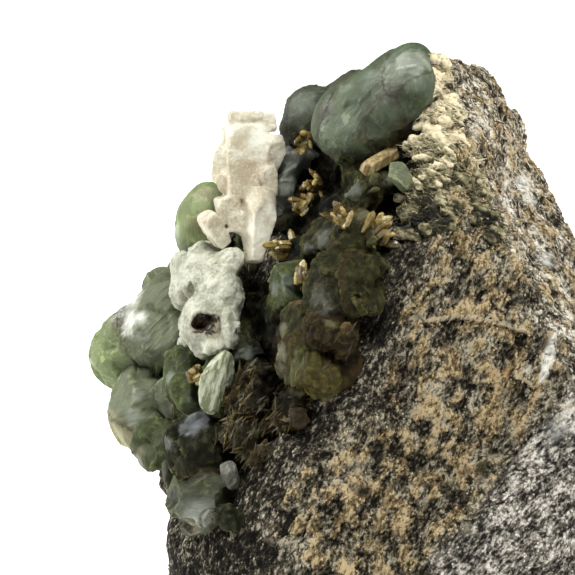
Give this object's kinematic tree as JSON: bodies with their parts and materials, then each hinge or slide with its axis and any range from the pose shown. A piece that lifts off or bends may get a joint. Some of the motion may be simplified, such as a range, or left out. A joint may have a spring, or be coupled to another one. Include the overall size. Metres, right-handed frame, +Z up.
{
  "type": "prehnite mineral specimen",
  "caption": "Broken block of speckled dark rock with a crust of green prehnite bosses, white blocky crystals and tufts of epidote blades; stands on a flat foot.",
  "frame": {"origin": "under the middle of the specimen's box, in the plane of its flat foot", "axes": "+Z up out of the foot, +X towards the tapering right end of the rock, +Y from the broken front face to the back; the crystal wall faces -X and a little -Y and up"},
  "size_m": [0.0592, 0.0464, 0.0646],
  "materials": {
    "host_rock": "broken fine-grained dark rock, speckled, matt",
    "prehnite": "translucent green, glassy to waxy, finely striated",
    "white_crystal": "white, matt to satin, stained brown in hollows",
    "cream_druse": "cream granular crust, matt",
    "epidote": "yellow-brown, glassy blades",
    "tan_crystal": "tan, dull",
    "grey_crystal": "grey, satin",
    "pale_crystal": "pale green-cream, satin"
  },
  "bodies": {
    "root": {"host_rock": "host_rock", "prehnite_crust": "prehnite", "cream_druse": "cream_druse", "white_column": "white_crystal", "white_icing": "white_crystal", "epidote_tuft_upper": "epidote", "epidote_tuft_middle": "epidote", "epidote_tuft_shadow": "epidote", "epidote_tuft_column_foot": "epidote", "epidote_tuft_front_top": "epidote", "epidote_tuft_front_side": "epidote", "epidote_tuft_front_edge": "epidote", "epidote_tuft_front_notch": "epidote", "epidote_tuft_flank": "epidote", "tan_prism": "tan_crystal", "grey_prism": "grey_crystal", "pale_blade": "pale_crystal"}
  },
  "joints": []
}
